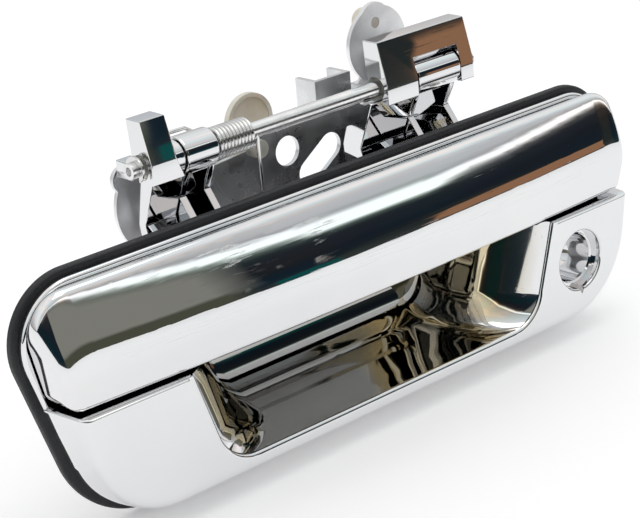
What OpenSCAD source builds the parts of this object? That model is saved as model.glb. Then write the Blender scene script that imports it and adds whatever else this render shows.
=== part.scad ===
// Lift-up tailgate handle. A bezel with a finger pocket carries a paddle on two
// gooseneck arms, its pivot rod and torsion spring, and behind them a steel
// bracket with the two cranks that pull the latch rods.
// +X is to the right seen from outside, +Y points into the tailgate, +Z is up.
// The origin is midway between the two mounting studs, on the mounting face.

/* [Bezel] */
// Half of the rim's width at the height of the studs
rim_half_w = 107.9; // [95:0.1:125]
// Height of the rim's top edge above the studs
rim_top = 34; // [32:0.1:38]
// Depth of the rim's bottom edge below the studs
rim_bottom = 37.2; // [35:0.1:45]
// Sideways lean of the end walls, per unit of height
side_lean = 0.31; // [0.2:0.01:0.36]
// Radius of the two top corners of the rim
rim_r_top = 17; // [12:0.5:20]
// Radius of the two bottom corners of the rim
rim_r_bottom = 27.5; // [20:0.5:30]
// Distance from the mounting face to the rim's front
rim_depth = 5.2; // [4.6:0.1:7]
// Thickness of the rim and of the wall behind the paddle
rim_t = 2.2; // [1.6:0.1:2.6]
// How far the apron's face stands in front of the rim
apron_depth = 14.8; // [13:0.1:18]
// Half of the apron face's width at the height of the studs
apron_half_w = 106.2; // [93:0.1:123]
// Depth of the apron face's bottom edge below the studs
apron_bottom = 33; // [31.5:0.1:38]
// Height of the apron's ledge under the paddle
apron_top = 1.4; // [0.5:0.1:2]
// Wall thickness of the apron and the pocket
wall = 2.2; // [1.6:0.1:2.6]

/* [Finger pocket] */
// Half of the pocket's mouth width at the height of the studs
mouth_half_w = 70; // [62:0.5:71]
// Depth of the mouth's bottom edge below the studs
mouth_bottom = 28.2; // [24:0.1:28.5]
// Radius of the two bottom corners of the mouth
mouth_r = 13; // [9:0.5:15]
// Height of the pocket's ceiling above the studs
pocket_top = 9; // [7:0.1:9.6]
// Distance from the mounting face back to the pocket's rear wall
pocket_back = 18; // [15:0.1:18.4]

/* [Lock] */
// Sideways place of the lock bore
lock_x = 82.5; // [81:0.1:84]
// Depth of the lock bore's axis below the studs
lock_z = 14.2; // [13.5:0.1:15]
// Radius of the bore for the lock cylinder's body
lock_r = 7.7; // [6:0.1:8]
// Radius of the recess for the lock cylinder's head
lock_head_r = 9.5; // [8.5:0.1:9.8]
// Depth of the recess for the lock cylinder's head
lock_head_depth = 3; // [2:0.1:4]

/* [Paddle] */
// Length of the paddle near its top
paddle_w = 224; // [190:0.5:228]
// Height of the paddle
paddle_h = 31.2; // [29.5:0.1:31.4]
// Depth of the paddle from its back edge to its crown
paddle_d = 14.4; // [12:0.1:15]
// Wall thickness of the paddle
paddle_wall = 2.4; // [1.8:0.1:3]
// Gap between the paddle and the bezel
paddle_gap = 0.8; // [0.5:0.1:1.2]

/* [Pivot] */
// Distance of the pivot rod's axis behind the mounting face
pivot_y = 15; // [14:0.1:16]
// Height of the pivot rod's axis above the studs
pivot_z = 48.3; // [47:0.1:51]
// Diameter of the pivot rod
rod_d = 4.8; // [4:0.1:5.2]
// Outer radius of the hubs on the rod
hub_r = 5.6; // [5.2:0.1:6]
// Wall thickness of the arm bushes
bush_t = 1.2; // [0.8:0.1:1.4]
// Radial running clearance of each bearing
running = 0.05; // [0.02:0.01:0.1]
// Side gap between neighbouring hubs
side_gap = 0.4; // [0.2:0.1:0.8]

/* [Spring] */
// Number of turns in the torsion spring
spring_turns = 10; // [6:1:12]
// Diameter of the spring wire
spring_wire = 1.2; // [0.8:0.05:1.2]
// Mean radius of the spring's turns
spring_r = 4.2; // [3.9:0.1:4.5]

/* [Bracket and cranks] */
// Thickness of the bracket and crank sheet
sheet_t = 1.6; // [1.2:0.1:2]
// Distance from the mounting face to the bracket's front
bracket_y = 27; // [27:0.1:30]
// Distance between the bracket and the cranks
crank_gap = 2.4; // [2:0.1:3]
// Radius of the crank rivets
rivet_r = 2.5; // [2:0.1:3]
// Radius of the latch rod hole in each rod holder
latch_rod_r = 2.6; // [2:0.1:2.8]

/* [Mounting] */
// Distance between the two mounting studs
stud_spacing = 192; // [186:0.5:194]
// Diameter of the mounting studs
stud_d = 6; // [5:0.5:6.5]
// Length of the studs behind the mounting face
stud_length = 16; // [12:0.5:25]
// Thickness of the gasket
gasket_t = 3; // [2:0.1:3]
// Width of the gasket's band
gasket_band = 5; // [4:0.1:6]
// How far the gasket stands out past the rim
gasket_proud = 2; // [1:0.1:2.5]

/* [Hidden] */
$fn = 64;
// Straight steps along one rounded corner of an outline
arc_steps = 12;
// One small step past a face, so that cuts go right through
over = 0.1;
SIDES = [-1, 1];

// Places along Y
rim_y = -rim_depth;
face_y = rim_y - apron_depth;
skirt_y = -0.6;
paddle_back = rim_y - paddle_gap;
crank_y = bracket_y + sheet_t + crank_gap;

// Paddle
paddle_bottom = apron_top + paddle_gap;
paddle_top = paddle_bottom + paddle_h;
paddle_front = paddle_back - paddle_d;
// Sideways lean of the paddle's ends, per unit of height below this depth from its top
paddle_lean = 0.2;
lean_start = 8.4;
// Height of the pads that meet the bump stops
pad_z = 18;

// Hubs along the rod, from left to right
rod_r = rod_d / 2;
bush_r = rod_r + running + bush_t;
left_arm = [-54, -43.2];
left_ear = [left_arm[1] + side_gap, -31.6];
right_arm = [36, 46.2];
right_ear = [right_arm[1] + side_gap, 64.4];
end_hub = [right_ear[1] + side_gap, 70.4];
// How far the right arm's web runs past its hub
web_reach = 8;
rod_ends = [-59.4, 73.6];
// Outer radius of the arms' hubs, behind the horn blocks
arm_hub_r = 5;
horn_height = 14.4;
// How far the horn blocks run past the outer sides of the arms
left_horn_past = 1.2;
right_horn_past = 2.4;
clip_t = 0.8;
clip_groove = 0.5;
left_clip_x = left_arm[0] - 3.4;
right_clip_x = end_hub[1] + side_gap;

// Crank pivots and latch rod holes
left_pivot = [-34, 31.5];
right_pivot = [56, 50];
left_hole = [-40, 19.5];
right_hole = [50, 63];
holder_r = latch_rod_r + 1.4;
stem_r = 1.7;
finger_tip = crank_y - 1;
finger_bottom = pivot_z - 4.3;
tab_gap = 0.5;
tab_top = finger_bottom - tab_gap;

// Screws of the bracket: two in posts and two in the ears
screw_r = 1.9;
screw_places = [[-22, 4], [26, 4], [-37.2, 21], [55.5, 21]];
post_r = 4.5;
screw_head_t = 1.4;

// Lock lever and the clip that holds the lock cylinder
clip_y = 0.4;
clip_sheet = 1.2;
clip_leg_x = lock_r + 1.2;
clip_leg_w = 1.8;
clip_reach = lock_r + 2 * wall;
lever_pivot = [69, -2];
lever_y = 6.2;
lock_back = 4;

function lean_length(lean) = sqrt(1 + lean * lean);
function half_w(mid, lean, z) = mid + lean * z;

// ---- Extrusions and round bars along each axis ----
module along_x(x0, x1) translate([x0, 0, 0]) rotate([90, 0, 90]) linear_extrude(x1 - x0) children();
module along_y(y0, y1) translate([0, y1, 0]) rotate([90, 0, 0]) linear_extrude(y1 - y0) children();
module along_z(z0, z1) translate([0, 0, z0]) linear_extrude(z1 - z0) children();
module bar_x(r, x0, x1, y, z) translate([x0, y, z]) rotate([0, 90, 0]) cylinder(r = r, h = x1 - x0);
module bar_y(r, y0, y1, p) translate([p[0], y0, p[1]]) rotate([-90, 0, 0]) cylinder(r = r, h = y1 - y0);
module rod_bar(r, span) bar_x(r, span[0], span[1], pivot_y, pivot_z);
module box(low, high) translate(low) cube(high - low);

// Points along an arc about c, from angle a0 to angle a1
function arc(c, r, a0, a1, steps = arc_steps) =
    [for (i = [0:steps]) let (a = a0 + (a1 - a0) * i / steps) c + r * [cos(a), sin(a)]];
function mirrored(p) = [for (i = [len(p) - 1:-1:0]) [-p[i][0], p[i][1]]];

// Closed solid through n rings of points, each with the same number of sides
module skin(points, n, sides) {
    walls = [for (i = [0:n - 2], k = [0:sides - 1])
             let (a = i * sides + k, b = i * sides + (k + 1) % sides) [a, b, b + sides, a + sides]];
    first = [for (k = [sides - 1:-1:0]) k];
    last = [for (k = [0:sides - 1]) (n - 1) * sides + k];
    polyhedron(points, concat([first], walls, [last]), convexity = 12);
}

// Keystone outline, wider at the top: mid is its half width at height zero
module keystone(mid, lean, top, bottom, r_top, r_bottom) {
    k = lean_length(lean);
    z_top = top - r_top;
    z_bottom = r_bottom - bottom;
    tilt = atan(lean);
    right = concat(arc([half_w(mid, lean, z_top) - r_top * k, z_top], r_top, 90, -tilt),
                   arc([half_w(mid, lean, z_bottom) - r_bottom * k, z_bottom], r_bottom, -tilt, -90));
    polygon(concat(right, mirrored(right)));
}

// Rim outline, drawn in by inset
module rim_outline(inset) {
    keystone(rim_half_w - inset * lean_length(side_lean), side_lean, rim_top - inset,
             rim_bottom - inset, rim_r_top - inset, rim_r_bottom - inset);
}

// Lower part of an outline, up to a given height
module below(z) {
    intersection() {
        children();
        translate([-2 * rim_half_w, z - 4 * rim_bottom]) square([4 * rim_half_w, 4 * rim_bottom]);
    }
}

// Apron face outline, drawn in by inset
module apron_outline(inset) {
    apron_lean = side_lean / 2;
    below(apron_top - inset)
        keystone(apron_half_w - inset, apron_lean, rim_top, apron_bottom - inset, rim_r_top, rim_r_bottom);
}

// Drafted apron from its face back to the rim
module apron_block(inset) {
    hull() {
        along_y(face_y + inset, face_y + inset + over) apron_outline(inset);
        along_y(rim_y, rim_y + over) below(apron_top - inset) rim_outline(inset);
    }
}

// Finger pocket, grown outwards by grow: mouth from the front, profile from the side, plan from above
module pocket_volume(grow) {
    ledge = pocket_back - 3;
    half_plan = [[0, face_y], [mouth_half_w + 3 + grow, face_y], [mouth_half_w + grow, face_y + 1.4],
                 [mouth_half_w - 13 + grow, face_y + 11], [mouth_half_w - 18 + grow, 2],
                 [mouth_half_w - 22 + grow, pocket_back + grow], [0, pocket_back + grow]];
    intersection() {
        along_y(face_y, pocket_back + grow)
            keystone(mouth_half_w + grow, side_lean, 2 * pocket_top + grow, mouth_bottom + grow,
                     3, mouth_r + grow);
        along_x(-rim_half_w, rim_half_w)
            polygon([[face_y, -mouth_bottom - grow], [4, -mouth_bottom + 2 - grow],
                     [ledge - 3 + grow, -mouth_bottom + 6 - grow], [ledge + grow, -mouth_bottom + 13],
                     [ledge + grow, -mouth_bottom + 19], [pocket_back + grow, -mouth_bottom + 21],
                     [pocket_back + grow, pocket_top - 4], [pocket_back - 4 + grow, pocket_top + grow],
                     [face_y, pocket_top + grow]]);
        along_z(-2 * rim_bottom, 2 * rim_top)
            union() {
                polygon(half_plan);
                mirror([1, 0]) polygon(half_plan);
            }
    }
}

// Side view of an ear that holds the rod: foot on the pocket, head on the rod
module ear_profile() {
    polygon([[rim_y + rim_t, pocket_top + 4], [6, pocket_top], [pocket_back + 1, pocket_top],
             [bracket_y, 14], [bracket_y, 25], [pivot_y + 7.5, 30], [pivot_y + hub_r - 0.6, pivot_z],
             [pivot_y - hub_r + 0.6, pivot_z], [pivot_y + 0.8, 36], [9, 27], [rim_y + rim_t, 23]]);
}

module ear(span, rib_t) {
    rod_bar(hub_r, span);
    for (x = [span[0], span[1] - rib_t])
        along_x(x, x + rib_t) ear_profile();
    // rear web between the two ribs
    along_x(span[0], span[1])
        polygon([[pocket_back - 3, pocket_top], [bracket_y, 14], [bracket_y, 25], [pivot_y + 7.5, 30],
                 [pivot_y + hub_r - 0.6, pivot_z - 3], [pivot_y + 2, pivot_z - 3], [pivot_y + 3, 31],
                 [bracket_y - 6, 24], [bracket_y - 6, 15], [pocket_back - 5, pocket_top]]);
}

// Openings in the wall behind the paddle, one for each arm
module arm_slot(span) {
    slot_gap = 1;
    box([span[0] - slot_gap, rim_y - over, pocket_top + wall + 0.4],
        [span[1] + slot_gap, -skirt_y, rim_top - 4]);
}

// Part of each stud that is moulded into the bezel: a flange and a narrower shank
module stud_shape(grow) {
    flange_r = stud_d / 2 + 2;
    for (side = SIDES) {
        place = [side * stud_spacing / 2, 0];
        bar_y(stud_d / 2 - 0.5, rim_y + 1, skirt_y + grow, place);
        bar_y(flange_r, rim_y + 1, rim_y + 2.5, place);
    }
}

module bezel() color("gainsboro") {
    boss_r = stud_d / 2 + 3.5;
    gasket_in = gasket_band - gasket_proud + 0.2;
    difference() {
        union() {
            difference() {
                union() {
                    apron_block(0);
                    along_y(rim_y, rim_y + rim_t) rim_outline(0);
                    along_y(rim_y, skirt_y) rim_outline(gasket_in);
                }
                apron_block(wall);
                along_y(rim_y + rim_t, over) rim_outline(gasket_in + wall);
                along_y(rim_y - over, rim_y + rim_t + over)
                    below(apron_top - wall) rim_outline(gasket_in + wall);
            }
            difference() {
                pocket_volume(wall);
                // nothing stands up through the space that the paddle fills
                box([-rim_half_w, face_y - over, apron_top], [rim_half_w, rim_y, rim_top]);
            }
            intersection() {
                bar_y(lock_r + 2 * wall, face_y + over, lock_back, [lock_x, -lock_z]);
                box([0, face_y + over, -apron_bottom + wall / 2], [rim_half_w, lock_back, apron_top]);
            }
            for (side = SIDES)
                bar_y(boss_r, rim_y, skirt_y, [side * stud_spacing / 2, 0]);
            ear(left_ear, 2.4);
            ear(right_ear, 2.4);
            for (i = [0, 1])
                bar_y(post_r, pocket_back - 1, bracket_y, screw_places[i]);
            // post for the lock lever
            bar_y(4, face_y + wall / 2, lever_y - 0.2, lever_pivot);
            // lug that the spring's long leg bears on
            box([-21, rim_y + rim_t / 2, 20], [-15, pivot_y - spring_r - spring_wire / 2, 27]);
        }
        pocket_volume(0);
        arm_slot(left_arm);
        arm_slot([right_arm[0] - web_reach, right_arm[1]]);
        bar_y(lock_head_r, face_y - over, face_y + lock_head_depth, [lock_x, -lock_z]);
        bar_y(lock_r, face_y, lock_back + over, [lock_x, -lock_z]);
        // index notch under the lock bore
        along_y(face_y - over, face_y + lock_head_depth)
            translate([lock_x, -lock_z - lock_head_r])
                polygon([[-1.6, 0.6], [1.6, 0.6], [0, -2]]);
        stud_shape(over);
        rod_bar(rod_r, rod_ends);
        for (place = screw_places)
            bar_y(screw_r, bracket_y - 10, bracket_y + over, place);
        bar_y(2, lever_y - 9, lever_y + over, lever_pivot);
        // slots for the legs of the lock retainer
        lock_retainer_shape(0.15);
    }
}

module gasket() color("dimgray")
    along_y(-gasket_t, 0)
        difference() {
            rim_outline(-gasket_proud);
            rim_outline(gasket_band - gasket_proud);
        }

// Angle of the outer tangent from the circle (c0, r0) to the circle (c1, r1)
function tangent_angle(c0, r0, c1, r1) =
    let (d = c1 - c0) atan2(d[1], d[0]) + acos((r0 - r1) / norm(d));

// How much a corner of radius r takes off the edge at distance x from the middle
function corner_drop(x, half, r) =
    let (past = max(0, x - half + r)) r - sqrt(max(0, r * r - past * past));

// Curve between two points: bulged so that it starts and ends turned by swing from the chord's direction
function bulged(p, q, out, swing, steps) =
    let (c = (p + q) / 2 + out * norm(q - p) / 2 * tan(swing))
    [for (i = [1:steps - 1]) let (s = i / steps) (1 - s) * (1 - s) * p + 2 * s * (1 - s) * c + s * s * q];

// Section at the paddle's middle: a toe, a crowned face, a flatter top and a rounded head
function paddle_section() =
    let (toe_r = 1.6, head_r = 3.4, swing = 5, crown_r = 0.64 * paddle_h,
         toe = [paddle_front + toe_r + 0.9, paddle_bottom + toe_r],
         crown = [paddle_front + crown_r, paddle_bottom + 0.327 * paddle_h],
         head = [paddle_back - head_r, paddle_top - head_r],
         a1 = tangent_angle(toe, toe_r, crown, crown_r),
         a2 = tangent_angle(crown, crown_r, head, head_r),
         face = arc(crown, crown_r, a1, a2 + swing, 6),
         round_top = arc(head, head_r, a2 - swing, 0, 6))
    concat([[paddle_back, paddle_bottom]], arc(toe, toe_r, 270, a1, 3), face,
           bulged(face[6], round_top[0], [cos(a2), sin(a2)], swing, 3), round_top);

// One point of the section, fitted between two heights and behind a given front
function fitted(p, front, low, high) =
    [paddle_back + (p[0] - paddle_back) * (paddle_back - front) / paddle_d,
     low + (p[1] - paddle_bottom) * (high - low) / paddle_h];

// The whole bar, drawn in by inset, as rings of points along X
module paddle_bar(inset) {
    half = paddle_w / 2 - inset;
    top_r = 13 - inset;
    bottom_r = 4 - inset;
    end_r = 3.6;
    bow = 3;
    section = paddle_section();
    sides = len(section);
    half_stations = concat([for (share = [0:0.25:0.75]) share * (half - top_r)],
                           [for (a = [0:22.5:90]) half - top_r + top_r * sin(a)]);
    count = len(half_stations);
    stations = concat([for (i = [count - 1:-1:1]) -half_stations[i]], half_stations);
    points = [for (x = stations)
              let (d = abs(x), bowed = bow * (d / half) * (d / half),
                   front = paddle_front + inset + bowed + corner_drop(d, half, end_r),
                   low = paddle_bottom + inset + corner_drop(d, half, bottom_r),
                   high = paddle_top - inset - corner_drop(d, half, top_r))
              for (corner = section)
              let (p = fitted(corner, front, low, high))
              [x * (1 - paddle_lean * (paddle_top - lean_start - p[1]) / half), p[0], p[1]]];
    skin(points, len(stations), sides);
}

// Side view of a gooseneck arm, from inside the paddle round to the rod
module arm_profile() {
    polygon([[paddle_front + 4, pocket_top + wall + 1.2], [17, pocket_top + wall + 1.2], [25.6, 21],
             [25.6, 31], [pivot_y + hub_r - 1, pivot_z], [pivot_y - hub_r + 2, pivot_z - 3],
             [17.8, 30.5], [16.5, 24.5], [12, 21], [paddle_front + 4, 21]]);
}

// Thin web along the front of the gooseneck
module web_profile() {
    polygon([[paddle_front + 4, 17.8], [13, 17.8], [19.8, 23.8], [20.8, 30.5], [pivot_y + 2, pivot_z - 2],
             [pivot_y - hub_r + 2, pivot_z - 3], [17.8, 30.5], [16.5, 24.5], [12, 21],
             [paddle_front + 4, 21]]);
}

// Side view of the horn blocks: they cover the hub's front and lean back above it
module horn_profile(low, high) {
    front = pivot_y - arm_hub_r - 0.2;
    intersection() {
        polygon([[front, pivot_z - 4.6], [front, pivot_z + 1.5], [front + 3.6, pivot_z + horn_height],
                 [pivot_y + 4.6, pivot_z + horn_height], [pivot_y + 3.6, pivot_z]]);
        translate([0, low]) square([2 * pivot_y, high - low]);
    }
}

module drive_finger(x0, x1)
    box([x0, pivot_y + 2, finger_bottom], [x1, finger_tip, finger_bottom + 3.4]);

module paddle() color("silver") {
    horn_top = pivot_z + horn_height;
    horn_low = pivot_z - hub_r;
    rib_t = 2.4;
    rib_pitch = paddle_w / 10;
    end_solid = 9;
    difference() {
        union() {
            difference() {
                paddle_bar(0);
                difference() {
                    translate([0, paddle_wall, 0]) paddle_bar(paddle_wall);
                    // stiffening ribs left standing in the hollow
                    for (share = [-4, -3, -1, 0, 1, 3, 4])
                        box([share * rib_pitch - 0.9, paddle_front, paddle_bottom],
                            [share * rib_pitch + 0.9, paddle_back - 1.2, paddle_top]);
                    // solid ends
                    for (side = SIDES)
                        translate([side * paddle_w / 2, 0, 0])
                            box([-end_solid, paddle_front, paddle_bottom - 1],
                                [end_solid, paddle_back + paddle_wall + 1, paddle_top + 1]);
                }
            }
            // left arm
            rod_bar(arm_hub_r, left_arm);
            along_x(left_arm[0], left_arm[1]) web_profile();
            along_x(left_arm[1] - rib_t, left_arm[1]) arm_profile();
            intersection() {
                along_x(left_arm[0] - left_horn_past, left_arm[1] - 1) horn_profile(horn_low, horn_top - 1);
                along_y(0, 2 * pivot_y)
                    polygon([[left_arm[0] - left_horn_past, horn_low], [left_arm[1] - 1, horn_low],
                             [left_arm[1] - 3.6, horn_top], [left_arm[0] - 1, horn_top]]);
            }
            drive_finger(left_arm[0] + 1, left_arm[0] + 6.4);
            // right arm
            rod_bar(arm_hub_r, right_arm);
            rod_bar(arm_hub_r, end_hub);
            along_x(right_arm[0] - web_reach, right_arm[1]) web_profile();
            for (x = [right_arm[0] - web_reach, right_arm[0] + 1, right_arm[1] - rib_t])
                along_x(x, x + rib_t) arm_profile();
            along_x(right_arm[0] - right_horn_past, right_arm[1]) horn_profile(horn_low, horn_top);
            along_x(end_hub[0], end_hub[1]) horn_profile(horn_low, horn_top);
            along_x(right_arm[0] - right_horn_past, end_hub[1]) horn_profile(pivot_z + hub_r + 1.6, horn_top);
            drive_finger(right_arm[0] + 0.6, right_arm[0] + 5.5);
            // pads that meet the bump stops
            for (side = SIDES)
                bar_y(4.4, paddle_front + 5, rim_y - 3.2, [side * 80, pad_z]);
        }
        rod_bar(bush_r, [left_arm[0] - left_horn_past - over, left_arm[1] + over]);
        rod_bar(bush_r, [right_arm[0] - web_reach - over, right_arm[1] + over]);
        rod_bar(bush_r, [end_hub[0] - over, end_hub[1] + over]);
    }
}

module bump_stops() color("black")
    for (side = SIDES)
        bar_y(4.4, rim_y - 3, rim_y, [side * 80, pad_z]);

module pivot_rod() color("lightgray")
    difference() {
        rod_bar(rod_r, rod_ends);
        for (x = [left_clip_x, right_clip_x])
            difference() {
                rod_bar(rod_r + 1, [x, x + clip_t]);
                rod_bar(rod_r - clip_groove, [x, x + clip_t]);
            }
        // drilled left end
        rod_bar(1.2, [rod_ends[0] - over, rod_ends[0] + 2]);
    }

module rod_clips() color("darkgray")
    for (x = [left_clip_x, right_clip_x])
        difference() {
            rod_bar(rod_r + 1.5, [x, x + clip_t]);
            rod_bar(rod_r - clip_groove, [x - over, x + clip_t + over]);
            // open side of the clip
            box([x - over, pivot_y - rod_r + 0.7, pivot_z - 2 * rod_r - 2],
                [x + clip_t + over, pivot_y + rod_r - 0.7, pivot_z]);
        }

module arm_bushes() color("ivory")
    for (span = [left_arm, right_arm, end_hub])
        difference() {
            rod_bar(bush_r, span);
            rod_bar(rod_r + running, [span[0] - over, span[1] + over]);
        }

// ---- Torsion spring: a coil round the rod with two legs ----
spring_start = left_ear[1] + 1.2;
spring_pitch = spring_wire + 0.06;
steps_a_turn = 12;
// The coil starts behind the rod and turns down and forwards
function coil_point(turn) =
    [spring_start + spring_pitch * turn, pivot_y + spring_r * cos(360 * turn),
     pivot_z - spring_r * sin(360 * turn)];
function unit(v) = v / norm(v);
// direction of the path at point i
function path_dir(p, i) = unit(p[min(i + 1, len(p) - 1)] - p[max(i - 1, 0)]);
// ring of points round the path at point i
function ring(p, i, r, sides) =
    let (t = path_dir(p, i), u = unit(cross(t, [1, 0.02, 0.01])), v = cross(t, u))
    [for (k = [0:sides - 1]) p[i] + r * (u * cos(360 * k / sides) + v * sin(360 * k / sides))];

module sweep(p, r, sides)
    skin([for (i = [0:len(p) - 1]) each ring(p, i, r, sides)], len(p), sides);

module torsion_spring() color("whitesmoke") {
    // the last turn stops at the front of the coil, where the long leg runs straight down
    turns = spring_turns + 0.5;
    coil = [for (i = [0:turns * steps_a_turn]) coil_point(i / steps_a_turn)];
    hook_y = pivot_y + spring_r + 2.4;
    hook = [[left_arm[1] - 2.5, hook_y, pivot_z + 5], [left_ear[1] - 2, hook_y, pivot_z + 4.6],
            [spring_start - 1.2, pivot_y + spring_r + 0.8, pivot_z + 2.6]];
    last = coil[len(coil) - 1];
    leg = [for (drop = [3, 12, 24]) last - [-0.4, 0, drop]];
    sweep(concat(hook, coil, leg), spring_wire / 2, 8);
}

// ---- Bracket and cranks ----
// Straight bar with round ends, between two points
module link(p, q, r) {
    d = q - p;
    a = atan2(d[1], d[0]);
    polygon(concat(arc(q, r, a - 90, a + 90), arc(p, r, a + 90, a + 270)));
}

module carrier_bracket() color("slategray") {
    left = left_ear[0] + 0.6;
    slot_left = right_arm[0] - 1.6;
    slot_right = right_arm[1] + 3.4;
    right = right_ear[1] - 0.6;
    shelf = 43;
    box_left = 20;
    tongue_y = pivot_y + 5;
    difference() {
        union() {
            along_y(bracket_y, bracket_y + sheet_t)
                difference() {
                    union() {
                        polygon([[left, 14], [-28, -2], [32, -2], [46, 14], [right, 14], [right, 50],
                                 [slot_right, 50], [slot_right, 34], [slot_left, 34], [slot_left, shelf],
                                 [left + 4, shelf], [left, 36]]);
                        translate(right_pivot) circle(8);
                    }
                    // round hole and keyhole window
                    translate([7, 34]) circle(4.6);
                    link([15, 25], [24, 31], 4.2);
                }
            // open box over the right half of the shelf
            difference() {
                box([box_left, bracket_y, shelf - sheet_t], [slot_left, bracket_y + 9, 52]);
                box([box_left + sheet_t, bracket_y + sheet_t, shelf],
                    [slot_left - sheet_t, bracket_y + 10, 53]);
            }
            // folded tongue with a pointed face under the spring
            along_x(-27, -27 + sheet_t)
                polygon([[bracket_y + over, 30], [bracket_y + over, 40], [tongue_y, 40], [tongue_y, 36]]);
            along_y(tongue_y, tongue_y + sheet_t)
                polygon([[-27, 36], [-27, 40], [-14, 41], [-18, 27], [-21, 27]]);
            // stiffening flange along the bottom
            box([-24, bracket_y, -2], [28, bracket_y + 6, -2 + sheet_t]);
        }
        for (place = screw_places)
            bar_y(screw_r, bracket_y - over, bracket_y + sheet_t + over, place);
        for (place = [left_pivot, right_pivot])
            bar_y(rivet_r, bracket_y - over, bracket_y + sheet_t + over, place);
        bar_y(2, bracket_y - over, bracket_y + sheet_t + over, [-4.5, 38]);
    }
}

module bracket_screws() color("silver")
    for (place = screw_places)
        difference() {
            union() {
                bar_y(screw_r, bracket_y - 9, bracket_y + sheet_t, place);
                bar_y(3.6, bracket_y + sheet_t, bracket_y + sheet_t + screw_head_t, place);
            }
            // hex socket
            translate([place[0], bracket_y + sheet_t + screw_head_t / 2, place[1]])
                rotate([-90, 0, 0]) cylinder(r = 1.7, h = 2, $fn = 6);
        }

module mounting_studs() color("lightsteelblue") {
    stud_shape(0);
    for (side = SIDES)
        bar_y(stud_d / 2, skirt_y, stud_length, [side * stud_spacing / 2, 0]);
}

// Sheet crank: a round lobe, the arm to the tab under the drive finger, and its holes
module crank(pivot, hole, hole_r, lobe, lobe_r, tab_x0, tab_x1) {
    tab_mid = [(tab_x0 + tab_x1) / 2, tab_top - 3];
    difference() {
        union() {
            along_y(crank_y, crank_y + sheet_t) {
                translate(lobe) circle(lobe_r);
                link(pivot, tab_mid, 4);
                link(pivot, hole, holder_r + 2.4);
            }
            box([tab_x0, crank_y - 4.2, tab_top - 1.8], [tab_x1, crank_y + sheet_t, tab_top]);
        }
        bar_y(rivet_r + running, crank_y - over, crank_y + sheet_t + over, pivot);
        bar_y(hole_r, crank_y - over, crank_y + sheet_t + over, hole);
    }
}

module left_crank() color("gainsboro")
    crank(left_pivot, left_hole, holder_r, [-38.5, 31], 15.5, left_arm[0] + 2, left_arm[0] + 6);

module right_crank() color("gainsboro")
    crank(right_pivot, right_hole, stem_r, [50.5, 56.2], 12, right_arm[0] + 1.2, right_arm[0] + 6.2);

module crank_rivets() color("silver")
    for (place = [left_pivot, right_pivot]) {
        bar_y(rivet_r, bracket_y, crank_y + sheet_t + 0.2, place);
        bar_y(rivet_r + 1.8, bracket_y - 1.2, bracket_y, place);
        bar_y(rivet_r + 1.8, crank_y + sheet_t + 0.2, crank_y + sheet_t + 1.6, place);
    }

module crank_washers() color("gray")
    for (place = [left_pivot, right_pivot])
        difference() {
            bar_y(rivet_r + 3.4, bracket_y + sheet_t, crank_y - 0.1, place);
            bar_y(rivet_r + running, bracket_y, crank_y, place);
        }

// Body of a holder for the bent end of a latch rod, with a keeper arm towards its latch
module holder_body(place, side) {
    back = crank_y + sheet_t;
    lip_r = holder_r + 1.4;
    reach = lip_r + 4;
    bar_y(holder_r, back, back + 5, place);
    bar_y(lip_r, back, back + 1.4, place);
    translate([place[0], 0, place[1]])
        box([side < 0 ? -reach : 0, back, -2], [side < 0 ? 0 : reach, back + 1.4, 2]);
}

// The left holder snaps into its crank, and its rod goes right through
module left_rod_holder() color("cornsilk")
    difference() {
        union() {
            holder_body(left_hole, -1);
            bar_y(holder_r, crank_y, crank_y + sheet_t, left_hole);
            bar_y(holder_r + 1.4, crank_y - 0.8, crank_y, left_hole);
        }
        bar_y(latch_rod_r, crank_y - 1, crank_y + sheet_t + 6, left_hole);
    }

// The right holder sits behind its crank on a short stem, and its socket is open at the back
module right_rod_holder() color("cornsilk")
    difference() {
        union() {
            holder_body(right_hole, 1);
            bar_y(stem_r, crank_y, crank_y + sheet_t, right_hole);
        }
        bar_y(latch_rod_r, crank_y + sheet_t + 0.8, crank_y + sheet_t + 6, right_hole);
    }

// Nylon clip on the bracket: a round cheek on a snap stem
module harness_clip() color("cornsilk") {
    front = bracket_y + sheet_t;
    difference() {
        union() {
            bar_y(8.5, front, front + 2, [-4.5, 46]);
            bar_y(4.5, front, front + 2, [-4.5, 38]);
            bar_y(2, bracket_y - 1, front, [-4.5, 38]);
            bar_y(2.8, bracket_y - 2, bracket_y, [-4.5, 38]);
        }
        // shallow dish inside a raised rim
        bar_y(7.2, front - over, front + 0.5, [-4.5, 46]);
    }
}

// ---- Lock ----
module lock_lever() color("lightgray")
    difference() {
        along_y(lever_y, lever_y + sheet_t) {
            translate(lever_pivot) circle(5);
            link(lever_pivot, [lever_pivot[0], -lock_z], 1.8);
            link([lever_pivot[0], -lock_z], [lock_x + 9, -lock_z], 1.8);
            link(lever_pivot, [lever_pivot[0], 14], 3.4);
        }
        bar_y(2 + running, lever_y - over, lever_y + sheet_t + over, lever_pivot);
        bar_y(1.6, lever_y - over, lever_y + sheet_t + over, [lever_pivot[0], 14]);
    }

module lock_lever_rivet() color("silver") {
    bar_y(2, lever_y - 8, lever_y + sheet_t + 0.2, lever_pivot);
    bar_y(4, lever_y + sheet_t + 0.2, lever_y + sheet_t + 1.4, lever_pivot);
}

// Legs of the U-shaped clip, one on each side of the lock bore
module lock_retainer_shape(grow) {
    half = clip_leg_w / 2 + grow;
    for (side = SIDES)
        translate([lock_x + side * clip_leg_x, 0, -lock_z])
            box([-half, clip_y - grow, -clip_reach - 1 - grow],
                [half, clip_y + clip_sheet + grow, clip_reach - 1 + grow]);
}

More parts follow.
